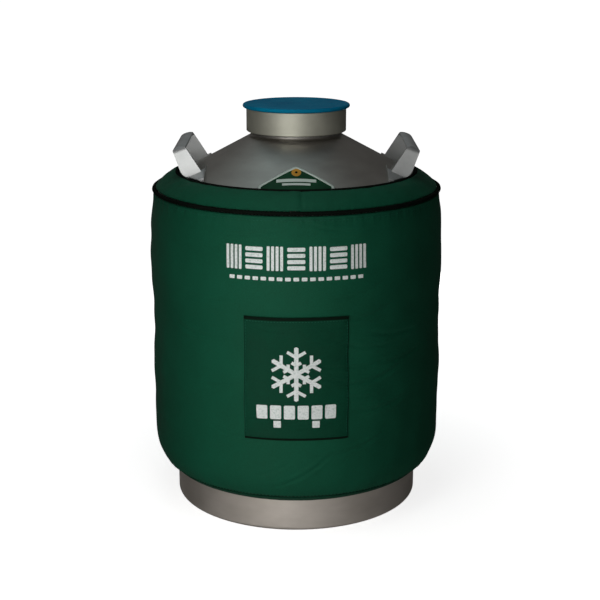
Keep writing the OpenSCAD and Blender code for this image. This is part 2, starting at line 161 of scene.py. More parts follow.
def turned(name, outline, segments=AROUND):
    """A closed ring: the closed outline of (radius, height) turned about the vessel's axis."""
    angles = np.arange(segments) * 2 * math.pi / segments
    points = [(r * math.cos(a), r * math.sin(a), z) for r, z in outline for a in angles]
    return mesh_object(name, points, grid_faces(len(outline), segments, True, True))


def tube_ring(name, ring_r, middle_z, segments, sides, thick_at, drift_at=lambda a: 0):
    """A tube round the vessel. Thick_at gives its radius, and drift_at how far it strays outwards."""
    points = []
    for i in range(segments):
        a = 2 * math.pi * i / segments
        drift = drift_at(a)
        for j in range(sides):
            turn = 2 * math.pi * j / sides
            r = thick_at(a, turn)
            reach = ring_r + r * math.cos(turn) + drift
            height = middle_z + r * math.sin(turn) + drift * 0.5
            points.append((reach * math.cos(a), reach * math.sin(a), height))
    return mesh_object(name, points, [f[::-1] for f in grid_faces(segments, sides, True, True)])


def run_along(path):
    """The distance along a path at each of its points."""
    return np.r_[0, np.cumsum(np.linalg.norm(np.diff(path, axis=0), axis=1))]


def resample(outline, count):
    """Points at equal steps along an open outline."""
    outline = np.array(outline)
    steps = run_along(outline)
    wanted = np.linspace(0, steps[-1], count)
    return np.c_[np.interp(wanted, steps, outline[:, 0]), np.interp(wanted, steps, outline[:, 1])]


def smooth_step(t):
    """0 below 0, 1 above 1, and smooth between."""
    t = np.clip(t, 0, 1)
    return t * t * (3 - 2 * t)


def bell(t):
    """A bell curve of unit width."""
    return np.exp(-t * t)


# ---------------- cloth

def add_weights(piece, name, weights):
    """A vertex group with one weight for each vertex."""
    group = piece.vertex_groups.new(name=name)
    for i, w in enumerate(weights):
        group.add([i], float(w), "REPLACE")


def puff(piece, pinned, growth, pressure, cap, stiffness):
    """Blows the closed pad up as cloth. Pinned is 1 where a point is sewn down, and growth is the spare
    fabric at each point. No point moves further than cap."""
    rest = points_of(piece.data)
    add_weights(piece, "pinned", pinned)
    add_weights(piece, "spare", growth / growth.max())
    cloth = piece.modifiers.new("Cloth", "CLOTH")
    for key, value in dict(
            quality=4, mass=0.15, tension_stiffness=stiffness, compression_stiffness=stiffness,
            shear_stiffness=stiffness * 0.4, bending_stiffness=0.5, use_pressure=True,
            uniform_pressure_force=pressure, vertex_group_mass="pinned", pin_stiffness=1,
            vertex_group_shrink="spare", shrink_min=0, shrink_max=-float(growth.max())).items():
        setattr(cloth.settings, key, value)
    cloth.settings.effector_weights.gravity = 0
    cloth.collision_settings.use_collision = False
    scene = bpy.context.scene
    scene.frame_start, scene.frame_end = 1, PUFF_FRAMES
    cloth.point_cache.frame_start, cloth.point_cache.frame_end = 1, PUFF_FRAMES
    for number in range(1, PUFF_FRAMES + 1):
        scene.frame_set(number)
    apply_modifiers(piece)
    scene.frame_set(1)
    moved = points_of(piece.data) - rest
    length = np.linalg.norm(moved, axis=1, keepdims=True)
    moved *= np.tanh(length / cap) * cap / np.maximum(length, 1e-9)
    set_points(piece.data, rest + moved)
    piece.vertex_groups.clear()


def waves(u, v, seed, pitch, count=24):
    """Smooth seeded noise over two coordinates, about -1 to 1, with features about pitch across."""
    draw = random.Random(seed)
    total = np.zeros_like(u)
    for _ in range(count):
        angle, phase = draw.uniform(0, math.pi), draw.uniform(0, 2 * math.pi)
        k = 2 * math.pi / (pitch * draw.uniform(0.7, 1.5))
        total += np.sin(k * (u * math.cos(angle) + v * math.sin(angle)) + phase)
    return total / math.sqrt(count)


# ---------------- materials

def add_node(tree, kind, operation=None, **values):
    """A shader node. Each value is a number, a tuple or another node's output."""
    node = tree.nodes.new("ShaderNode" + kind)
    if operation:
        node.operation = operation
    for name, value in values.items():
        key = int(name[2:]) if name.startswith("in") and name[2:].isdigit() else name.replace("_", " ")
        if isinstance(value, bpy.types.NodeSocket):
            tree.links.new(value, node.inputs[key])
        else:
            node.inputs[key].default_value = value
    return node


def math_node(tree, operation, a, b=0):
    """The result of one sum on two values."""
    return add_node(tree, "Math", operation, in0=a, in1=b).outputs[0]


def times(tree, a, b):
    """Two values multiplied."""
    return math_node(tree, "MULTIPLY", a, b)


def plus(tree, a, b):
    """Two values added."""
    return math_node(tree, "ADD", a, b)


def feed(shader, socket, value):
    """Feeds a node's output to a socket of the shader."""
    shader.id_data.links.new(value, shader.inputs[socket])


def noise(tree, scale, detail=3, roughness=0.55, vector=None):
    """A noise value over a vector, or else over the point on the object."""
    node = add_node(tree, "TexNoise", Scale=scale, Detail=detail, Roughness=roughness,
                    Vector=place(tree) if vector is None else vector)
    return node.outputs["Fac"]


def mix(tree, factor, first, second):
    """A colour between two colours."""
    node = tree.nodes.new("ShaderNodeMix")
    node.data_type = "RGBA"
    for key, value in (("Factor", factor), (6, first), (7, second)):
        socket = node.inputs[key]
        if isinstance(value, bpy.types.NodeSocket):
            tree.links.new(value, socket)
        elif isinstance(value, tuple):
            socket.default_value = (*value, 1)
        else:
            socket.default_value = value
    return node.outputs[2]


def span(tree, value, low, high, to_low=0, to_high=1):
    """Maps a value's range to another, clamped."""
    node = tree.nodes.new("ShaderNodeMapRange")
    for name, number in (("From Min", low), ("From Max", high), ("To Min", to_low), ("To Max", to_high)):
        node.inputs[name].default_value = number
    tree.links.new(value, node.inputs["Value"])
    return node.outputs["Result"]


def place(tree):
    """The point on the object, in metres."""
    return tree.nodes.new("ShaderNodeTexCoord").outputs["Object"]


def turned_place(tree):
    """Angle, radius and height about the vessel's axis."""
    x, y, z = add_node(tree, "SeparateXYZ", Vector=place(tree)).outputs
    radius = math_node(tree, "SQRT", plus(tree, times(tree, x, x), times(tree, y, y)))
    return math_node(tree, "ARCTAN2", y, x), radius, z


def combine(tree, x, y, z):
    """Three values as one vector."""
    return add_node(tree, "CombineXYZ", X=x, Y=y, Z=z).outputs[0]


def surface(name, colour, roughness, metallic=0, **sockets):
    """A material with a plain Principled shader, and its node tree."""
    material = bpy.data.materials.new(name)
    material.use_nodes = True
    shader = material.node_tree.nodes["Principled BSDF"]
    shader.inputs["Base Color"].default_value = (*colour, 1)
    shader.inputs["Roughness"].default_value = roughness
    shader.inputs["Metallic"].default_value = metallic
    for key, value in sockets.items():
        shader.inputs[key.replace("_", " ")].default_value = value
    return material, material.node_tree, shader


def raise_surface(tree, shader, heights, distance, strength=1):
    """Bumps the surface by a height value."""
    bump = add_node(tree, "Bump", Strength=strength, Distance=distance, Height=heights)
    feed(shader, "Normal", bump.outputs["Normal"])


def two_tone(tree, shader, value, low, high, dark, colour):
    """Colours the surface from dark to colour over a value's range."""
    feed(shader, "Base Color", mix(tree, span(tree, value, low, high), dark, colour))


def vary_polish(tree, shader, roughness, fine, fine_share, patches, patch_share):
    """Spreads the roughness about its value by a fine noise and a patchy one."""
    spread = plus(tree, times(tree, fine, fine_share), times(tree, patches, patch_share))
    lowest = roughness - (fine_share + patch_share) / 2
    feed(shader, "Roughness", plus(tree, spread, lowest))


def spun_metal(name, colour, dark, roughness, ring_pitch=0.0012):
    """Sheet metal turned on a lathe: fine rings round the axis, streaks, and a patchy polish."""
    material, tree, shader = surface(name, colour, roughness, 1, Anisotropic=0.4)
    angle, radius, height = turned_place(tree)
    step = 1 / ring_pitch
    rings = combine(tree, times(tree, angle, 0.6), times(tree, radius, step), times(tree, height, step))
    fine = noise(tree, 1, 4, 0.7, rings)
    patches = noise(tree, 9, 4)
    streaks = combine(tree, times(tree, angle, 2.5), times(tree, radius, 30), times(tree, height, 30))
    smears = noise(tree, 1, vector=streaks)
    shade = plus(tree, times(tree, patches, 0.5), times(tree, smears, 0.5))
    two_tone(tree, shader, shade, 0.38, 0.62, dark, colour)
    vary_polish(tree, shader, roughness, fine, 0.1, patches, 0.14)
    raise_surface(tree, shader, fine, SCRATCH)
    return material


def drawn_metal(name, colour, dark, roughness, grain=(60, 900, 900)):
    """Flat or drawn metal with straight grain and small knocks."""
    material, tree, shader = surface(name, colour, roughness, 1)
    stretched = add_node(tree, "VectorMath", "MULTIPLY", in0=place(tree), in1=grain).outputs[0]
    fine = noise(tree, 1, 3, 0.7, stretched)
    patches = noise(tree, 22, 4)
    knocks = noise(tree, 260, 2)
    two_tone(tree, shader, patches, 0.35, 0.65, dark, colour)
    vary_polish(tree, shader, roughness, fine, 0.14, patches, 0.12)
    raise_surface(tree, shader, plus(tree, fine, times(tree, knocks, 0.6)), SCRATCH)
    return material


def cloth_weave(tree, pitch):
    """A plain weave's height over the barrel: threads round it and threads up it."""
    angle, radius, height = turned_place(tree)
    warp = math_node(tree, "SINE", times(tree, angle, round(2 * math.pi * JACKET_R / pitch)))
    weft = math_node(tree, "SINE", times(tree, plus(tree, height, times(tree, radius, 0.7)),
                                         2 * math.pi / pitch))
    return times(tree, warp, weft)


def fabric(name, colour, dark, roughness=0.66, sheen=0.02, pitch=WEAVE_PITCH, depth=0.00012, fade=9,
           gloss=0.12):
    """Coated nylon: weave, a soft mottle, fine crumpling and rub marks."""
    material, tree, shader = surface(name, colour, roughness, Sheen_Weight=sheen, Sheen_Roughness=0.4,
                                     Specular_IOR_Level=gloss)
    weave = cloth_weave(tree, pitch)
    mottle = noise(tree, fade, 5, 0.6)
    slub = noise(tree, 420, 2)
    crumple = noise(tree, 70, 4, 0.6)
    base = mix(tree, span(tree, mottle, 0.3, 0.7), dark, colour)
    raised = plus(tree, times(tree, weave, 0.25), slub)
    bright = tuple(min(1, 1.6 * c) for c in colour)
    threads = mix(tree, span(tree, raised, 0.2, 0.8, 0, 0.35), base, bright)
    feed(shader, "Base Color", threads)
    feed(shader, "Roughness", span(tree, mottle, 0.3, 0.7, roughness - 0.06, roughness + 0.08))
    heights = plus(tree, times(tree, weave, 0.5), times(tree, crumple, 2))
    raise_surface(tree, shader, heights, depth, 0.7)
    return material


def moulded(name, colour, dark, roughness, gloss=0.5):
    """Moulded plastic or enamel: a faint swirl, fine grain and scuffs."""
    material, tree, shader = surface(name, colour, roughness, Specular_IOR_Level=gloss)
    swirl = noise(tree, 14, 6, 0.6)
    stretched = [times(tree, part, scale) for part, scale in zip(turned_place(tree), (3, 400, 60))]
    scuffs = noise(tree, 1, 3, 0.7, combine(tree, *stretched))
    base = mix(tree, span(tree, swirl, 0.36, 0.64), dark, colour)
    pale = tuple(0.8 * c + 0.02 for c in colour)
    feed(shader, "Base Color", mix(tree, span(tree, scuffs, 0.62, 0.8, 0, 0.5), base, pale))
    feed(shader, "Roughness", span(tree, scuffs, 0.3, 0.8, roughness - 0.05, roughness + 0.15))
    raise_surface(tree, shader, noise(tree, 900), 0.04 * MM)
    return material


def granular(name, colour, dark, roughness, scale, depth, metallic=0):
    """Foam, granules, crinkled foil or a cast skin: a two-tone speckle with real depth."""
    material, tree, shader = surface(name, colour, roughness, metallic)
    cells = add_node(tree, "TexVoronoi", Vector=place(tree), Scale=scale).outputs["Distance"]
    speckle = noise(tree, scale * 0.4, 5, 0.65)
    two_tone(tree, shader, speckle, 0.35, 0.65, dark, colour)
    feed(shader, "Roughness", span(tree, speckle, 0.2, 0.8, roughness - 0.08, roughness + 0.08))
    raise_surface(tree, shader, plus(tree, cells, speckle), depth)
    return material


def printed(name, colour, dark):
    """Screen-printed ink that has sunk into the weave and cracked a little."""
    material, tree, shader = surface(name, colour, 0.55)
    cracks = noise(tree, 330, 4, 0.7)
    worn = plus(tree, cracks, times(tree, cloth_weave(tree, WEAVE_PITCH), 0.05))
    two_tone(tree, shader, worn, 0.3, 0.52, dark, colour)
    raise_surface(tree, shader, worn, 0.00006)
    return material


LOOKS = {
    "bare_aluminium": spun_metal("spun_aluminium", (0.42, 0.4, 0.37), (0.34, 0.32, 0.295), 0.4),
    "turned_aluminium": spun_metal("turned_aluminium", (0.62, 0.62, 0.53), (0.53, 0.53, 0.45), 0.54, 0.0008),
    "handle_metal": drawn_metal("handle_metal", (0.7, 0.72, 0.72), (0.58, 0.6, 0.6), 0.46),
    "canister_metal": drawn_metal("canister_metal", (0.72, 0.72, 0.71), (0.6, 0.6, 0.59), 0.34,
                                  (900, 900, 60)),
    "neck_laminate": spun_metal("neck_laminate", (0.66, 0.6, 0.4), (0.52, 0.46, 0.28), 0.5, 0.002),
    "insulation": granular("insulation_foil", (0.8, 0.8, 0.79), (0.55, 0.55, 0.54), 0.35, 60, 0.0008, 0.8),
    "adsorbent": granular("adsorbent", (0.3, 0.28, 0.25), (0.12, 0.11, 0.1), 0.9, 500, 0.0006),
    "brass_fitting": drawn_metal("brass_fitting", (0.72, 0.54, 0.26), (0.55, 0.38, 0.16), 0.36),
    "black_rubber": granular("black_rubber", (0.018, 0.018, 0.019), (0.01, 0.01, 0.01), 0.72, 900,
                             0.00008),
    "plate_paint": moulded("plate_enamel", (0.003, 0.06, 0.022), (0.002, 0.04, 0.015), 0.5, 0.12),
    "white_plastic": moulded("white_plastic", (0.8, 0.8, 0.77), (0.7, 0.7, 0.66), 0.45),
    "blue_plastic": moulded("blue_plastic", (0.0008, 0.24, 0.42), (0.0006, 0.17, 0.33), 0.45, 0.03),
    "plug_foam": granular("plug_foam", (0.8, 0.72, 0.52), (0.62, 0.52, 0.34), 0.85, 700, 0.0003),
    "jacket_fabric": fabric("jacket_fabric", (0.0048, 0.086, 0.045), (0.0034, 0.067, 0.034)),
    "pocket_fabric": fabric("pocket_fabric", (0.0012, 0.054, 0.027), (0.0008, 0.04, 0.02), fade=14),
    "black_webbing": fabric("black_webbing", (0.005, 0.0075, 0.0055), (0.003, 0.0042, 0.0032), 0.8, 0,
                            0.0012, 0.0002, gloss=0.03),
}
LOOKS["neck_laminate"].node_tree.nodes["Principled BSDF"].inputs["Metallic"].default_value = 0
SEAM_THREAD = fabric("seam_thread", (0.016, 0.13, 0.08), (0.01, 0.095, 0.058), 0.7, 0, 0.0012, 0.0001)
# Near-black thread, also used for the nameplate's dot and as painted shade in the pocket's edge strips.
DARK_THREAD_AND_PAINTED_SHADE = fabric("dark_thread", (0.0035, 0.012, 0.007), (0.002, 0.008, 0.004), 0.7, 0, 0.0012, 0.0001,
                     gloss=0.05)
WHITE_INK = printed("white_ink", (0.9, 0.95, 0.94), (0.55, 0.66, 0.62))
PLATE_EDGE = moulded("plate_edge", (0.68, 0.78, 0.72), (0.56, 0.66, 0.6), 0.45)
PLATE_GOLD = drawn_metal("plate_gold", (0.72, 0.36, 0.06), (0.45, 0.18, 0.02), 0.42)
WELD = granular("weld_metal", (0.5, 0.5, 0.48), (0.3, 0.29, 0.28), 0.42, 700, 0.0002, 1)
# The foot ring's metal: rougher and warmer than the cone's, and brighter; the extra brightness is painted
# light standing in for light from the front.
RING_METAL_PAINTED_BRIGHT = spun_metal("foot_ring_metal_painted_bright", (0.77, 0.715, 0.66), (0.64, 0.59, 0.535), 0.56, 0.0016)


def dress_frame():
    """Each CAD node's material, by its record slot, and a brighter metal on the foot ring, whose extra
    brightness is painted light.
    """
    for row in frame["record"]["subparts"]:
        piece = frame["nodes"][row["node"]]
        piece.data.materials.clear()
        piece.data.materials.append(LOOKS[row["material_slot"]])
    frame["nodes"]["base_ring"].data.materials[0] = RING_METAL_PAINTED_BRIGHT


# ---------------- jacket

# Soft rolls in the padding: height and half-height in m, and how far each stands out in mm
ROLLS = ((0.411, 0.03, 2.3), (0.234, 0.028, 2.2), (0.16, 0.016, 0.8), (0.306, 0.04, -1.6),
         (0.36, 0.02, -0.8), (0.52, 0.022, -2))

# Creases, in mm: arc length from the front centre, height, half-length, slope in degrees, half-width, depth.
# CREASE_GAIN makes them all deeper, on what is sewn to the barrel too.
CREASE_GAIN = 1.45
CREASES = ((112, 366, 34, 8, 4, 0.9), (118, 316, 44, -7, 3.6, 1.1), (110, 286, 40, 4, 3.2, 0.9),
           (126, 262, 52, 9, 4.4, 1.2), (104, 236, 30, -5, 3.2, 0.8), (150, 214, 46, 6, 4.6, 1.1),
           (12, 112, 46, 31, 3.4, 1.2), (-34, 120, 30, 24, 3, 0.5), (172, 330, 52, -4, 5, 1.2),
           (196, 288, 48, 7, 4.6, 1.1), (-150, 390, 46, 5, 4.4, 0.7), (-176, 330, 44, -6, 4.4, 0.8),
           (-120, 250, 34, 6, 3.4, 0.5), (60, 506, 40, -9, 3, 0.6), (-66, 500, 44, 7, 3, 0.5),
           (98, 404, 40, 12, 3.4, 0.5), (-98, 172, 40, -8, 3.6, 0.6), (96, 150, 44, 14, 3.6, 0.8))


def node_radii(node):
    """The distance of a CAD node's vertices from the vessel's axis."""
    points = points_of(frame["nodes"][node].data)
    return np.hypot(points[:, 0], points[:, 1])


SHOULDER_INNER_R = float(node_radii("jacket_shoulder").min())
SHOULDER_SLOPE = (SHOULDER_HIGH.z - SHOULDER_LOW.z) / (SHOULDER_HIGH.x - SHOULDER_INNER_R)
# Where the shoulder's two ends are sewn together, as an arc length from the front centre
JOIN_ARC = 9 * MM


def cad_outline(node, count):
    """The outside of a turned CAD node, as (radius, height) points from its foot up."""
    low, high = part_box(node)
    tree = tree_of(frame["nodes"][node])
    inset = 0.3 * MM
    outline = []
    for z in np.linspace(low.z + inset, high.z - inset, 160):
        hit = tree.ray_cast(Vector((2 * high.x, 0, z)), Vector((-1, 0, 0)))[0]
        outline.append((hit.x, z))
    return resample(outline, count)


def crease_depth(arc, height, creases):
    """How far a list of creases moves the cloth in or out at (arc length, height), in metres."""
    total = np.zeros_like(arc)
    for at, level, half_length, slope, half_width, depth in creases:
        tilt = math.radians(slope)
        u = (arc - at * MM) * math.cos(tilt) + (height - level * MM) * math.sin(tilt)
        v = (height - level * MM) * math.cos(tilt) - (arc - at * MM) * math.sin(tilt)
        v = v - 0.1 * u * u / (half_length * MM)
        along = bell(u / (half_length * MM)) * (1 - 0.25 * np.cos(u * 90))
        width = half_width * MM
        groove = 0.7 * bell((v - 1.5 * width) / width) - bell(v / (0.6 * width)) \
            + 0.5 * bell((v + 1.6 * width) / width)
        total += CREASE_GAIN * depth * MM * along * groove
    return total


def polar(piece):
    """A piece's points, and their angle, radius, arc length from the front centre, and height."""
    points = points_of(piece.data)
    angle = np.arctan2(points[:, 1], points[:, 0])
    radius = np.hypot(points[:, 0], points[:, 1])
    arc = (np.mod(angle + math.pi / 2 + math.pi, 2 * math.pi) - math.pi) * JACKET_R
    return points, angle, radius, arc, points[:, 2]


def shape_barrel(piece, wall_r):
    """The rolls, creases and seam puckers of the padded barrel, on its outer side only."""
    points, angle, radius, arc, height = polar(piece)
    outside = smooth_step((radius - wall_r) / (4 * MM))
    shift = 6 * MM * np.sin(2 * angle + 1) + 4 * MM * np.sin(3 * angle + 0.4)
    stand = np.zeros_like(radius)
    for level, half, depth in ROLLS:
        roll = bell((height + shift * 0.5 - level) / half)
        stand += depth * MM * roll * (0.85 + 0.15 * np.sin(3 * angle + level * 60))
    stand += crease_depth(arc, height, CREASES)
    stand += 0.45 * MM * waves(JACKET_R * angle, height * 1.6, 11, 0.075)
    pucker = np.sin(angle * 118 + 2 * np.sin(angle * 9)) * np.sin(angle * 47 + 1)
    above, below = height - JACKET_LOW.z, JACKET_HIGH.z - height
    stand += 0.8 * MM * pucker * (bell(below / (14 * MM)) + bell(above / (16 * MM)))
    ends = smooth_step(above / (6 * MM)) * smooth_step(below / (5 * MM))
    stand *= outside * (0.25 + 0.75 * ends)
    unit = np.c_[np.cos(angle), np.sin(angle), np.zeros_like(angle)]
    set_points(piece.data, points + unit * stand[:, None])


def make_barrel():
    """The jacket's padded barrel: a closed pad, blown up as cloth between its two seams."""
    outer = cad_outline("jacket_body", FABRIC_ROWS)
    wall_r = float(node_radii("jacket_body").min())
    inner_low = outer[0] + np.array((-4 * MM, 3 * MM))
    inner = np.c_[np.interp(np.linspace(0, 1, INNER_ROWS), (0, 0.16, 1), (inner_low[0], wall_r, wall_r)),
                  np.linspace(inner_low[1], JACKET_HIGH.z - 2 * MM, INNER_ROWS)]
    outline = np.r_[outer, [[outer[-1][0] - 4 * MM, JACKET_HIGH.z]], inner[::-1]]
    barrel = turned("jacket_barrel", outline)
    share = np.linspace(0, 1, FABRIC_ROWS)
    pinned_row = np.r_[np.maximum(1 - share / 0.02, 0) + np.maximum(1 - (1 - share) / 0.02, 0),
                       np.ones(len(outline) - FABRIC_ROWS)]
    pinned = np.repeat(np.clip(pinned_row, 0, 1), AROUND)
    _, _, _, arc, height = polar(barrel)
    spare = 0.01 + 0.007 * waves(arc, height * 2.4, 3, 0.11)
    puff(barrel, pinned, np.clip(spare, 0, 0.03), 2.2, 3 * MM, 18)
    subdivide(barrel)
    shape_barrel(barrel, wall_r + 4 * MM)
    dress(barrel, LOOKS["jacket_fabric"], "jacket_fabric")
    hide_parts("jacket_body")
    return barrel


def lens_outline(node, count, plump):
    """The closed section of a padded ring, plumped outwards, with most points round its two thin ends."""
    points = points_of(frame["nodes"][node].data)
    section = np.c_[np.hypot(points[:, 0], points[:, 1]), points[:, 2]]
    middle = section.mean(axis=0)
    long_way = np.linalg.eigh(np.cov((section - middle).T))[1][:, 1]
    long_way = long_way * np.sign(long_way[0])
    short_way = np.array((-long_way[1], long_way[0]))
    centre, ways = middle.copy(), []
    for way in (long_way, short_way):
        low, high = ((section - middle) @ way).min(), ((section - middle) @ way).max()
        centre += way * (low + high) / 2
        ways.append(way * (high - low) / 2)
    tree = tree_of(frame["nodes"][node])
    outline = []
    for turn in np.linspace(0, 2 * math.pi, count, endpoint=False):
        r, z = ways[0] * math.cos(turn) + ways[1] * math.sin(turn)
        way = Vector((r, 0, z)).normalized()
        hit = tree.ray_cast(Vector((centre[0], 0, centre[1])), way)[0]
        outline.append((hit.x + way.x * plump, hit.z + way.z * plump))
    return outline


def above_shoulder_middle(radius, height):
    """How far points are above the slanted middle of the shoulder's section."""
    return height - (SHOULDER_HIGH.z - (radius - SHOULDER_INNER_R) * SHOULDER_SLOPE)


def make_shoulder():
    """The padded ring that lies on the cone, blown up between the piping and the binding."""
    outline = lens_outline("jacket_shoulder", 44, 0.25 * MM)
    shoulder = turned("jacket_shoulder_pad", outline)
    _, angle, radius, _, height = polar(shoulder)
    inner_seam = smooth_step(1 - (radius - SHOULDER_INNER_R) / (4 * MM))
    outer_seam = smooth_step(1 - (SHOULDER_HIGH.x - radius) / (4 * MM))
    underside = (above_shoulder_middle(radius, height) < -1.5 * MM).astype(float)
    pinned = np.clip(np.maximum(np.maximum(inner_seam, outer_seam), underside), 0, 1)
    spare = 0.014 + 0.012 * waves(JACKET_R * angle, radius * 1.5, 5, 0.05)
    puff(shoulder, pinned, np.clip(spare, 0, 0.04), 3, 2 * MM, 16)
    subdivide(shoulder)
    points, angle, radius, arc, height = polar(shoulder)
    top = smooth_step(above_shoulder_middle(radius, height) / (2 * MM))
    join = arc - JOIN_ARC
    rise = -1.9 * MM * bell(join / (2.6 * MM)) + 1.5 * MM * bell((join + 11 * MM) / (9 * MM))
    share = np.clip((radius - SHOULDER_INNER_R) / (SHOULDER_HIGH.x - SHOULDER_INNER_R), 0, 1)
    pucker = np.sin(angle * 131 + 2 * np.sin(angle * 11)) * np.sin(angle * 37 + 2)
    rise += 0.45 * MM * pucker * (bell(share / 0.22) + bell((1 - share) / 0.22))
    rise += 0.35 * MM * waves(JACKET_R * angle, radius * 2, 21, 0.035)
    points[:, 2] += rise * top
    set_points(shoulder.data, points)
    dress(shoulder, LOOKS["jacket_fabric"], "jacket_fabric")
    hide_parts("jacket_shoulder")


def cord_ring(name, node, sides=14, ribs=260, rib=0.1, wander=0.25, swell=1):
    """A covered cord round the vessel: a tube with slanted ribs that wanders a little."""
    low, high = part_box(node)
    tube_r = swell * (high.z - low.z) / 2

    def thick_at(a, turn):
        return tube_r * (1 - rib + rib * abs(math.sin((ribs * a + turn) / 2)))

    def drift_at(a):
        return wander * MM * (math.sin(5 * a + 1) + 0.6 * math.sin(13 * a + 2) + 0.4 * math.sin(29 * a))
    ring_r = high.x - (high.z - low.z) / 2
    ring = tube_ring(name, ring_r, (high.z + low.z) / 2, 960, sides, thick_at, drift_at)
    dress(ring, LOOKS["black_webbing"], "black_webbing")
    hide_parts(node)


def make_hem():
    """The bound lower edge: a folded tape with a soft wave."""
    outline = lens_outline("jacket_hem", 32, 0)
    hem = turned("jacket_hem_tape", outline, 2 * AROUND)
    points, angle, _, _, _ = polar(hem)
    ripple = 0.35 * MM * (np.sin(angle * 31 + np.sin(angle * 7)) + 0.6 * np.sin(angle * 83))
    points += np.c_[np.cos(angle), np.sin(angle), 0.6 + 0 * angle] * ripple[:, None]
    set_points(hem.data, points)
    dress(hem, LOOKS["pocket_fabric"], "jacket_fabric")
    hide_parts("jacket_hem")


def skin_of(piece):
    """A function that gives the point on a piece of cloth, lifted off it, at (arc length, height)."""
    tree = tree_of(piece)

    def at(arc, height, lift=0):
        turn = arc / JACKET_R
        out = Vector((math.sin(turn), -math.cos(turn), 0))
        hit, normal, _, _ = tree.ray_cast(out * (JACKET_R * 1.3) + Vector((0, 0, height)), -out)
        return hit + (out * 0.8 + normal * 0.2) * lift
    return at


def round_box(width, height, corner, centre):
    """The outline of a rectangle with round corners."""
    steps = 4
    outline = []
    for sx, sy, start in ((1, 1, 0), (-1, 1, 90), (-1, -1, 180), (1, -1, 270)):
        for i in range(steps + 1):
            a = math.radians(start + 90 * i / steps)
            outline.append((centre[0] + sx * (width / 2 - corner) + corner * math.cos(a),
                            centre[1] + sy * (height / 2 - corner) + corner * math.sin(a)))
    return outline


def inside(point, outline):
    """Whether a point is inside an outline."""
    x, y = point
    hit = False
    for (x0, y0), (x1, y1) in zip(outline, outline[1:] + outline[:1]):
        if (y0 > y) != (y1 > y) and x < (x1 - x0) * (y - y0) / (y1 - y0) + x0:
            hit = not hit
    return hit


def split_edges(outline, step):
    """A closed outline with every edge cut into pieces no longer than step."""
    fine = []
    for (x0, y0), (x1, y1) in zip(outline, outline[1:] + outline[:1]):
        parts = max(1, math.ceil(math.hypot(x1 - x0, y1 - y0) / step))
        fine += [(x0 + (x1 - x0) * k / parts, y0 + (y1 - y0) * k / parts) for k in range(parts)]
    return fine


def thin_shape(outline, put, lift, thickness, cell):
    """A thin closed solid over an outline, bent to a surface. Put gives the point at (u, v, lift)."""
    outline = split_edges(outline, 0.7 * cell)
    us, vs = [p[0] for p in outline], [p[1] for p in outline]
    inner = [(u, v) for u in np.arange(min(us) + cell, max(us), cell)
             for v in np.arange(min(vs) + cell, max(vs), cell) if inside((u, v), outline)]
    rim = list(range(len(outline)))
    flat, _, faces, *_ = delaunay_2d_cdt([Vector(p) for p in outline + inner], [], [rim], 1, 1e-7)
    points = [put(p.x, p.y, lift + thickness) for p in flat] + [put(p.x, p.y, lift) for p in flat]
    return points, thin_solid_faces(faces, len(flat), rim)


def decal(name, outlines, put, lift, thickness, material, slot, cell=0.0035):
    """One piece made of thin shapes that follow a surface."""
    points, faces = [], []
    for outline in outlines:
        more, solid = thin_shape(outline, put, lift, thickness, cell)
        faces += [tuple(i + len(points) for i in f) for f in solid]
        points += more
    return dress(mesh_object(name, points, faces, smooth=False), material, slot)


def run_stitches(name, lines, put, lift, material, slot, length=3.2 * MM, gap=1.6 * MM, thick=0.42 * MM):
    """Rows of stitches: a small rounded thread for each, along lines of (u, v) on a surface."""
    points, faces = [], []
    sides, rings = 6, (0, 0.35, 0.8, 1, 0.8, 0.35, 0)
    for line in lines:
        path = np.array(line)
        steps = run_along(path)
        for start in np.arange(gap, steps[-1] - length, length + gap):
            ends = [Vector(put(np.interp(s, steps, path[:, 0]), np.interp(s, steps, path[:, 1]), lift))
                    for s in (start, start + length)]
            along = (ends[1] - ends[0]).normalized()
            out = Vector((ends[0].x, ends[0].y, 0)).normalized()
            side = along.cross(out).normalized()
            out = side.cross(along)
            base = len(points)
            for k, fat in enumerate(rings):
                share = k / (len(rings) - 1)
                centre = ends[0].lerp(ends[1], share) + out * thick * 0.5 * fat
                for j in range(sides):
                    turn = 2 * math.pi * j / sides
                    spoke = side * math.cos(turn) + out * math.sin(turn) * 0.8
                    points.append(centre + spoke * thick * (0.25 + 0.75 * fat))
            faces += tube_faces(len(rings), sides, base)
    piece = mesh_object(name, points, [f[::-1] for f in faces])
    return dress(piece, material, slot)


def crowded_steps(count):
    """Steps from -0.5 to 0.5 that lie closer together towards both ends."""
    even = np.linspace(-0.5, 0.5, count)
    return 0.175 * np.sin(even * math.pi) + 0.65 * even


def grid_rim(rows, columns):
    """The points round the edge of a grid, in order."""
    last = (rows - 1) * columns
    return [*range(columns), *range(2 * columns - 1, rows * columns, columns),
            *range(last + columns - 2, last - 1, -1), *range(last - columns, 0, -columns)]


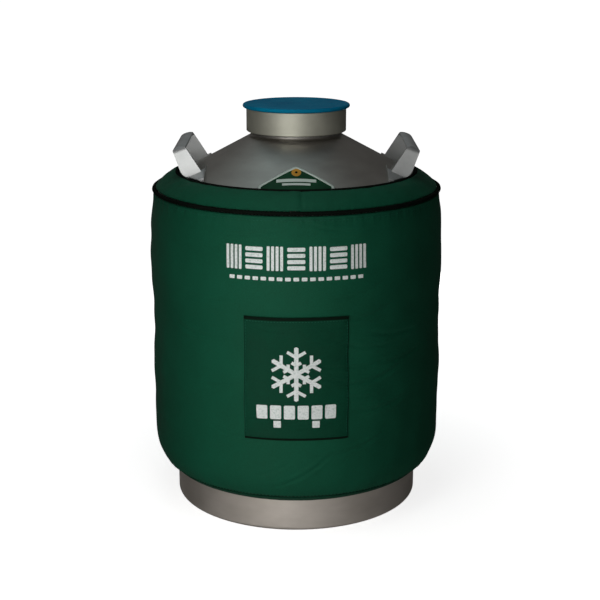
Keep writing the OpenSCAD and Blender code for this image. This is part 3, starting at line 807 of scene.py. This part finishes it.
def sewn_patch(name, node, slot, skin, width, low_z, high_z, columns, rows, creases, turn=0):
    """A fabric patch sewn flat to the barrel: rounded edges, a slack middle and creases. Gives its skin."""
    thickness, round_edge, loose_from, seam_lift = 2 * MM, 2.2 * MM, 9 * MM, 0.15 * MM
    top, under = [], []
    us, vs = width * crowded_steps(columns), low_z + (high_z - low_z) * (0.5 + crowded_steps(rows))
    grid_u, grid_v = np.meshgrid(us, vs)
    folds = crease_depth(grid_u.ravel(), grid_v.ravel(), creases).reshape(grid_u.shape)
    slack = 0.35 * MM * waves(grid_u, grid_v * 1.5, 31, 0.05)
    for i, v in enumerate(vs):
        for j, u in enumerate(us):
            edge = min(width / 2 - abs(u), v - low_z, high_z - v)
            loose = float(smooth_step(edge / loose_from))
            body = thickness * math.sqrt(max(0, 1 - (1 - min(edge / round_edge, 1)) ** 2))
            lift = seam_lift + body + (folds[i, j] + slack[i, j] + 0.5 * MM) * loose
            top.append(skin(u + turn, v, max(lift, 0.3 * MM * (edge > 0))))
            under.append(skin(u + turn, v, 0.05 * MM))
    faces = thin_solid_faces(grid_faces(rows, columns), rows * columns, grid_rim(rows, columns))
    patch = mesh_object(name, top + under, faces)
    dress(patch, LOOKS[slot], slot)
    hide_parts(node)
    return skin_of(patch)


def snowflake(size, centre):
    """The outline of a plain six-armed ice crystal, as one closed line."""
    arm, branch = size * 0.04, size * 0.03
    lean = math.radians(60)
    side = [(arm / math.tan(lean / 2), arm)]
    for reach, length in ((0.195, 0.055), (0.345, 0.15)):
        root = size * reach
        tip = (root + size * length * math.cos(lean), arm + size * length * math.sin(lean))
        step = (branch * math.sin(lean), branch * math.cos(lean))
        side += [(root - branch / math.sin(lean), arm), (tip[0] - step[0], tip[1] + step[1]),
                 (tip[0] + step[0], tip[1] - step[1]), (root + branch / math.sin(lean), arm)]
    side += [(size * 0.5, arm), (size * 0.5 + arm * 0.6, 0)]
    half = side + [(x, -y) for x, y in reversed(side[:-1])]
    outline = []
    for k in range(6):
        turn = math.radians(60 * k + 90)
        outline += [(centre[0] + x * math.cos(turn) - y * math.sin(turn),
                     centre[1] + x * math.sin(turn) + y * math.cos(turn)) for x, y in reversed(half[1:])]
    return outline


def row_of(count, pitch):
    """The places of count things in a row about 0, a pitch apart."""
    return [(i - (count - 1) / 2) * pitch for i in range(count)]


def striped_tile(width, height, centre, upright):
    """A tile of parallel bars with round ends."""
    bars = 4
    pitch = (width if upright else height) / bars
    size = (pitch * 0.66, height) if upright else (width, pitch * 0.66)
    centres = [(centre[0] + step * upright, centre[1] + step * (not upright)) for step in row_of(bars, pitch)]
    return [round_box(*size, pitch * 0.2, spot) for spot in centres]


# ---------------- the jacket, put together

# Creases of the pocket, as on the barrel
POCKET_CREASES = ((62, 352, 26, 10, 2.6, 1), (58, 330, 30, 5, 2.4, 0.8), (48, 290, 34, -6, 2.6, 1),
                  (60, 268, 30, -12, 2.6, 1.2), (52, 232, 30, 6, 2.2, 0.7), (20, 196, 40, -3, 2.4, 0.6),
                  (-40, 348, 30, -6, 2.2, 0.5), (-58, 206, 24, 9, 2.2, 0.5))

# Prints on the cloth, in m: heights above the floor, pitches, and sizes across and up
TILE_ROW_Z = 0.464
TILE_COUNT = 7
TILE_PITCH = 0.0326
TILE_SIZE = (0.0275, 0.038)
DASH_ROW_Z = 0.4325
DASH_COUNT = 17
DASH_PITCH = 0.0126
DASH_SIZE = (0.0086, 0.0056)
CRYSTAL_Z = 0.281
CRYSTAL_SIZE = 0.084
BLOCK_ROW_Z = 0.219
BLOCK_COUNT = 6
BLOCK_PITCH = 0.0212
BLOCK_SIZE = (0.017, 0.023)
SMALL_SQUARE = 0.0115
SMALL_SQUARES = ((-0.0295, 0.199), (0.0305, 0.199))


def print_on(name, outlines, skin, lift, thickness):
    """White ink on a piece of cloth."""
    decal(name, outlines, skin, lift * MM, thickness * MM, WHITE_INK, "white_plastic")


def make_prints(skin):
    """The barrel's prints: a band of striped tiles and a row of dashes under it."""
    tiles = []
    for i, x in enumerate(row_of(TILE_COUNT, TILE_PITCH)):
        tiles += striped_tile(*TILE_SIZE, (x, TILE_ROW_Z), i % 2 == 0)
    print_on("print_tiles", tiles, skin, 0.18, 0.22)
    dashes = [round_box(*DASH_SIZE, 1.2 * MM, (x, DASH_ROW_Z)) for x in row_of(DASH_COUNT, DASH_PITCH)]
    print_on("print_dashes", dashes, skin, 0.18, 0.22)


def make_pocket_prints(face):
    """The pocket's prints: an ice crystal, a row of plain blocks and two small squares."""
    print_on("print_crystal", [snowflake(CRYSTAL_SIZE, (0, CRYSTAL_Z))], face, 0.2, 0.25)
    blocks = [round_box(*BLOCK_SIZE, 2 * MM, (x, BLOCK_ROW_Z)) for x in row_of(BLOCK_COUNT, BLOCK_PITCH)]
    blocks += [round_box(SMALL_SQUARE, SMALL_SQUARE, 1 * MM, spot) for spot in SMALL_SQUARES]
    print_on("print_blocks", blocks, face, 0.2, 0.25)


def make_pocket(skin):
    """The flat pocket on the front, dark strips of painted shade along its top and bottom edges, its
    stitching and its prints.
    """
    half = (POCKET_HIGH.x - POCKET_LOW.x) / 2
    width = 2 * JACKET_R * math.asin(half / JACKET_R)
    low, high = POCKET_LOW.z, POCKET_HIGH.z
    face = sewn_patch("jacket_pocket_patch", "jacket_pocket", "pocket_fabric", skin, width, low, high,
                      84, 110, POCKET_CREASES)
    edge, top_edge = 3.2 * MM, 7.5 * MM
    side = width / 2 - edge
    sides = [[(x, high - top_edge), (x, low + 2 * edge)] for x in (-side, side)]
    across = [[(-side, high - top_edge), (side, high - top_edge)]]
    for name, lines in (("pocket_stitches", sides), ("pocket_top_stitches", across)):
        run_stitches(name, lines, face, 0.1 * MM, SEAM_THREAD, "jacket_fabric")
    # Two dark strips of painted shade: the shade of the pocket's mouth along the top, and shade along its
    # lower edge.
    painted_shade_strips = [round_box(width - 3 * MM, tape * MM, 1 * MM, (0, z)) for tape, z in
                ((4.6, high - 3 * MM), (3.4, low + 2.4 * MM))]
    decal("pocket_painted_shade_strips", painted_shade_strips, face, 0.15 * MM, 0.6 * MM, DARK_THREAD_AND_PAINTED_SHADE, "black_webbing")
    make_pocket_prints(face)


def make_flap(skin):
    """The closure on the back: a strip over the jacket's opening, with stitching down both sides."""
    half_turn = math.pi * JACKET_R
    width = 2 * JACKET_R * math.asin(FLAP_HIGH.x / JACKET_R)
    low, high = FLAP_LOW.z, FLAP_HIGH.z
    creases = tuple((0, z, 22, s, 2.4, 0.6) for z, s in ((160, 5), (228, -8), (290, 6), (356, -4), (420, 7)))
    face = sewn_patch("jacket_closure_strip", "jacket_closure_flap", "jacket_fabric", skin, width, low, high,
                      44, 150, creases, half_turn)
    lines = []
    for inset in (3 * MM, 9 * MM):
        side = width / 2 - inset
        corners = ((-side, low + inset), (-side, high - inset), (side, high - inset), (side, low + inset),
                   (-side, low + inset))
        lines.append([(half_turn + u, v) for u, v in corners])
    run_stitches("closure_stitches", lines, face, 0.1 * MM, SEAM_THREAD, "jacket_fabric")


def make_jacket():
    """Everything that is fabric."""
    barrel = make_barrel()
    make_shoulder()
    cord_ring("jacket_piping_cord", "jacket_piping")
    cord_ring("jacket_binding_tape", "jacket_binding", 12, 420, 0.06, 0.2, 1.35)
    make_hem()
    skin = skin_of(barrel)
    make_prints(skin)
    make_pocket(skin)
    make_flap(skin)
    around = np.linspace(-math.pi * JACKET_R, math.pi * JACKET_R, 361)
    for name, z, thread, slot, thick in (
            ("hem_stitches", JACKET_LOW.z + 3.5 * MM, DARK_THREAD_AND_PAINTED_SHADE, "black_webbing", 0.5 * MM),
            ("top_stitches", JACKET_HIGH.z - 7 * MM, SEAM_THREAD, "jacket_fabric", 0.4 * MM)):
        line = [(arc, z) for arc in around]
        run_stitches(name, [line], skin, 0.1 * MM, thread, slot, 4.2 * MM, 2 * MM, thick)


# ---------------- metal details

def weld_ring(name, radius, height, bead_r, ripples):
    """A weld bead round the vessel: a tube with the ripples of each dab of metal."""
    def thick_at(a, turn):
        return bead_r * (0.86 + 0.14 * abs(math.sin(ripples * a / 2)))
    return dress(tube_ring(name, radius, height, ripples * 4, 10, thick_at), WELD, "turned_aluminium")


def weld_line(name, path, bead_r):
    """A short weld bead along points that lie on the metal."""
    path = [Vector(p) for p in path]
    sides, steps = 8, 9
    points = []
    fine = [a.lerp(b, k / steps) for a, b in zip(path, path[1:]) for k in range(steps)] + [path[-1]]
    for i, p in enumerate(fine):
        along = (fine[min(i + 1, len(fine) - 1)] - fine[max(i - 1, 0)]).normalized()
        side = along.cross(Vector((0, 0, 1))).normalized()
        up = side.cross(along)
        taper = min(1, 0.25 + i / 3, 0.25 + (len(fine) - 1 - i) / 3)
        r = bead_r * taper * (0.85 + 0.15 * abs(math.sin(i * 1.3)))
        points += [p + (side * math.cos(t) + up * math.sin(t)) * r
                   for t in (2 * math.pi * j / sides for j in range(sides))]
    return dress(mesh_object(name, points, tube_faces(len(fine), sides)), WELD, "turned_aluminium")


def over(node):
    """A function that gives the point on a CAD node's top side, lifted off it, at (x, y)."""
    tree = tree_of(frame["nodes"][node])

    def put(x, y, lift=0):
        hit, normal, _, _ = tree.ray_cast(Vector((x, y, 1)), Vector((0, 0, -1)))
        return hit + normal * lift if hit else None
    return put


def make_welds():
    """Weld beads at the collar and round the handles' feet."""
    lip_r = float(node_radii("outer_cone").min()) + 3.5 * MM
    weld_ring("collar_weld", lip_r, CONE_HIGH.z - 1 * MM, 1.4 * MM, 130)
    cone = over("outer_cone")
    for side, handle, letter in ((-1, "handle_left", "l"), (1, "handle_right", "r")):
        low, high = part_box(handle)
        inner_x = min(abs(low.x), abs(high.x))
        for end, word in ((-1, "front"), (1, "back")):
            ys = [end * y * MM for y in (56, 64, 72, 80)]
            path = [cone(side * (inner_x - 0.6 * MM), y, 0.5 * MM) for y in ys]
            weld_line(f"foot_weld_{letter}_{word}", path, 1.3 * MM)


def plate_outline(inset):
    """The nameplate's outline, a diamond with round corners, moved in by inset."""
    steps = 8
    centre_y = (PLATE_LOW.y + PLATE_HIGH.y) / 2
    corner = 9 * MM
    across, along = PLATE_HIGH.x - corner, (PLATE_HIGH.y - PLATE_LOW.y) / 2 - corner
    lean = math.atan2(along, across)
    outline = []
    for quarter, (cx, cy) in enumerate(((across, 0), (0, along), (-across, 0), (0, -along))):
        spread = math.pi / 2 - lean if cy == 0 else lean
        middle = quarter * math.pi / 2
        for i in range(steps + 1):
            a = middle + spread * (2 * i / steps - 1)
            reach = corner - inset
            outline.append((cx + reach * math.cos(a), centre_y + cy + reach * math.sin(a)))
    return outline


def make_nameplate_art():
    """The plate's pale border, a plain gold ring and dot, and two plain bars."""
    plate = over("nameplate")
    outer, inner = (split_edges(plate_outline(inset * MM), 2.5 * MM) for inset in (0.5, 5.1))
    points = []
    for loop, lift in ((outer, 0.05), (outer, 0.35), (inner, 0.35), (inner, 0.05)):
        points += [plate(x, y, lift * MM) for x, y in loop]
    border = mesh_object("nameplate_border", points, grid_faces(4, len(outer), True, True))
    dress(border, PLATE_EDGE, "plate_paint")
    spot_y = PLATE_HIGH.y - 13.5 * MM
    circle = [(math.cos(t), math.sin(t)) for t in np.linspace(0, 2 * math.pi, 33)[:-1]]
    for name, half_w, half_h, lift, thickness, material, slot in (
            ("nameplate_spot", 7.6, 8.2, 0.05, 0.3, PLATE_GOLD, "brass_fitting"),
            ("nameplate_dot", 2.2, 2.4, 0.36, 0.15, DARK_THREAD_AND_PAINTED_SHADE, "black_webbing")):
        oval = [(half_w * MM * x, spot_y + half_h * MM * y) for x, y in circle]
        decal(name, [oval], plate, lift * MM, thickness * MM, material, slot, 0.003)
    bars = [round_box(width * MM, height * MM, 1 * MM, (0, spot_y - drop * MM))
            for width, height, drop in ((62, 6.5, 17), (44, 4.5, 25.5))]
    decal("nameplate_bars", bars, plate, 0.05 * MM, 0.2 * MM, PLATE_EDGE, "plate_paint", 0.004)


# ---------------- studio

CAMERA_DISTANCE = 2.241
CAMERA_HEIGHT = 0.938
CAMERA_TILT = 15.08
CAMERA_LENS = 81.3
CAMERA_SHIFT = 0.0062

# The world's plain light, and the two pale cards in it
WORLD_LIGHT = 0.022
FRONT_CARD = 0.38
BACK_CARD = 0.11

# Soft lights: name, place, target, width and height, power in watts, colour
LIGHTS = (
    ("front_box", (-0.17, -0.62, 0.37), (-0.02, 0, 0.31), (0.28, 0.95), 1.36, (1, 0.99, 0.97)),
    ("top_box", (-0.2, 0.34, 1.75), (-0.04, -0.12, 0.58), (0.8, 0.7), 0.95, (0.74, 0.96, 1)),
    ("shoulder_box", (-0.1, -0.42, 1.45), (0, -0.12, 0.58), (0.5, 0.4), 1.5, (1, 1, 1)),
    ("back_fill", (0.25, 1.6, 0.14), (0, 0, 0.33), (0.7, 0.24), 3.2, (1, 1, 1)),
)


def make_camera():
    """A camera in front of the vessel, looking down a little."""
    data = bpy.data.cameras.new("camera")
    data.lens = CAMERA_LENS
    data.sensor_width = 36
    data.shift_x = CAMERA_SHIFT
    camera = add_object("camera", data)
    camera.location = (0, -CAMERA_DISTANCE, CAMERA_HEIGHT)
    camera.rotation_euler = (math.radians(90 - CAMERA_TILT), 0, 0)
    bpy.context.scene.camera = camera


def area_light(name, location, target, size, power, colour):
    """A soft light, aimed at a point and not seen itself."""
    data = bpy.data.lights.new(name, "AREA")
    data.shape = "RECTANGLE"
    data.size, data.size_y = size
    data.energy = power
    data.color = colour
    light = add_object(name, data)
    light.location = location
    light.rotation_euler = (Vector(target) - Vector(location)).to_track_quat("-Z", "Y").to_euler()
    light.visible_camera = False


def stage_piece(name, points, faces, unseen_by):
    """A bright pale piece that isn't part of the object, unseen by some kinds of ray."""
    piece = mesh_object(name, points, faces, smooth=False)
    material, tree, shader = surface(name, (0.9, 0.9, 0.9), 0.9, Emission_Color=(1, 1, 1, 1),
                                     Emission_Strength=1)
    piece.data.materials.append(material)
    for ray in unseen_by:
        setattr(piece, "visible_" + ray, False)
    return tree, shader


def make_floor():
    """A wide pale floor with a faint shadow near the vessel, and plain white further out."""
    half = 40
    corners = [(-half, -half, 0), (half, -half, 0), (half, half, 0), (-half, half, 0)]
    tree, shader = stage_piece("floor", corners, [(0, 1, 2, 3)], ("diffuse", "glossy"))
    feed(shader, "Base Color", mix(tree, noise(tree, 3), (0.9, 0.9, 0.9), (0.93, 0.93, 0.93)))
    _, distance, _ = turned_place(tree)
    feed(shader, "Emission Strength", span(tree, distance, 0.25, 0.75, 0.8, 1))


def make_backdrop():
    """A far white wall that only the camera sees, for views from low down."""
    radius, low, high, sides = 38, -1, 40, 96
    points = [(radius * math.cos(a), radius * math.sin(a), z)
              for a in np.arange(sides) * 2 * math.pi / sides for z in (low, high)]
    rays = ("diffuse", "glossy", "transmission", "shadow")
    stage_piece("backdrop", points, grid_faces(sides, 2, True), rays)


def patch_of_sky(tree, vector, towards, narrow, wide):
    """1 near a direction and 0 away from it."""
    towards = Vector(towards).normalized()
    dot = add_node(tree, "VectorMath", "DOT_PRODUCT", in0=vector, in1=tuple(towards))
    return span(tree, dot.outputs["Value"], math.cos(math.radians(wide)), math.cos(math.radians(narrow)))


def make_world():
    """A dark studio with a pale card low in front and a dim one behind."""
    world = bpy.data.worlds.new("studio")
    bpy.context.scene.world = world
    world.use_nodes = True
    tree = world.node_tree
    background = tree.nodes["Background"]
    vector = tree.nodes.new("ShaderNodeTexCoord").outputs["Generated"]
    front = times(tree, patch_of_sky(tree, vector, (-0.14, -0.84, -0.52), 8, 78), FRONT_CARD)
    back = times(tree, patch_of_sky(tree, vector, (-0.25, 0.75, 0.62), 10, 62), BACK_CARD)
    cards = plus(tree, front, back)
    tree.links.new(plus(tree, cards, WORLD_LIGHT), background.inputs["Strength"])
    background.inputs["Color"].default_value = (1, 0.985, 0.96, 1)


def make_studio():
    """Lights, floor, world and the plain view transform."""
    make_floor()
    make_backdrop()
    make_world()
    for row in LIGHTS:
        area_light(*row)
    bpy.context.scene.view_settings.view_transform = "Standard"


make_camera()
dress_frame()
make_jacket()
make_welds()
make_nameplate_art()
make_studio()
